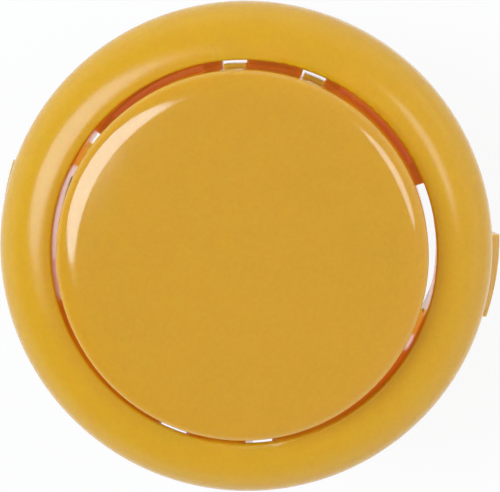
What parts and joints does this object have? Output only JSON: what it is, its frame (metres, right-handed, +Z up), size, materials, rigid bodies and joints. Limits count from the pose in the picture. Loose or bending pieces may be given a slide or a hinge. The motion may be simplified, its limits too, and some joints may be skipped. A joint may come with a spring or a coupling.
{
  "type": "arcade button",
  "caption": "Round snap-in arcade push button with a domed plunger in a rounded rim, side clips for a panel hole and a small switch with blade terminals underneath.",
  "frame": {"origin": "on the plunger's axis, in the plane of the rim's underside, where it rests on the panel", "axes": "+Z up along the plunger's axis, out of the panel; +X through one of the two panel clips; +Y through one switch latch"},
  "size_m": [0.0346, 0.0332, 0.0306],
  "materials": {
    "housing_plastic": "satin moulded yellow",
    "plunger_plastic": "glossy moulded yellow",
    "case_plastic": "fine matt moulded black",
    "base_plastic": "matt moulded dark grey",
    "actuator_plastic": "natural white, smooth",
    "spring_steel": "drawn wire",
    "tinned_brass": "tinned, rolled",
    "spring_bronze": "rolled spring strip",
    "contact_silver": "smooth silver"
  },
  "bodies": {
    "housing": {"housing": "housing_plastic", "switch_case": "case_plastic", "switch_base": "base_plastic", "return_spring": "spring_steel", "common_terminal": "tinned_brass", "normally_open_terminal": "tinned_brass", "fixed_contact": "contact_silver"},
    "plunger": {"plunger": "plunger_plastic"},
    "actuator": {"actuator": "actuator_plastic"},
    "contact_blade": {"contact_blade": "spring_bronze", "moving_contact": "contact_silver"}
  },
  "joints": [
    {"name": "plunger_slide", "type": "slide", "parent": "housing", "child": "plunger", "axis": [0, 0, -1], "range_m": [0, 0.0025], "stiffness_N_per_m": 150, "springref_m": -0.004, "deforming": ["return_spring"]},
    {"name": "actuator_slide", "type": "slide", "parent": "housing", "child": "actuator", "axis": [0, 0, -1], "range_m": [0, 0.0025]},
    {"name": "contact_blade_swing", "type": "hinge", "parent": "housing", "child": "contact_blade", "pos_m": [0, -0.00711, -0.01215], "axis": [-1, 0, 0], "range_deg": [0, 4.4]}
  ],
  "couplings": [
    {"joint": "actuator_slide", "follows": "plunger_slide", "ratio": 1},
    {"joint": "contact_blade_swing", "follows": "plunger_slide", "rad_per_m": 30.7}
  ]
}
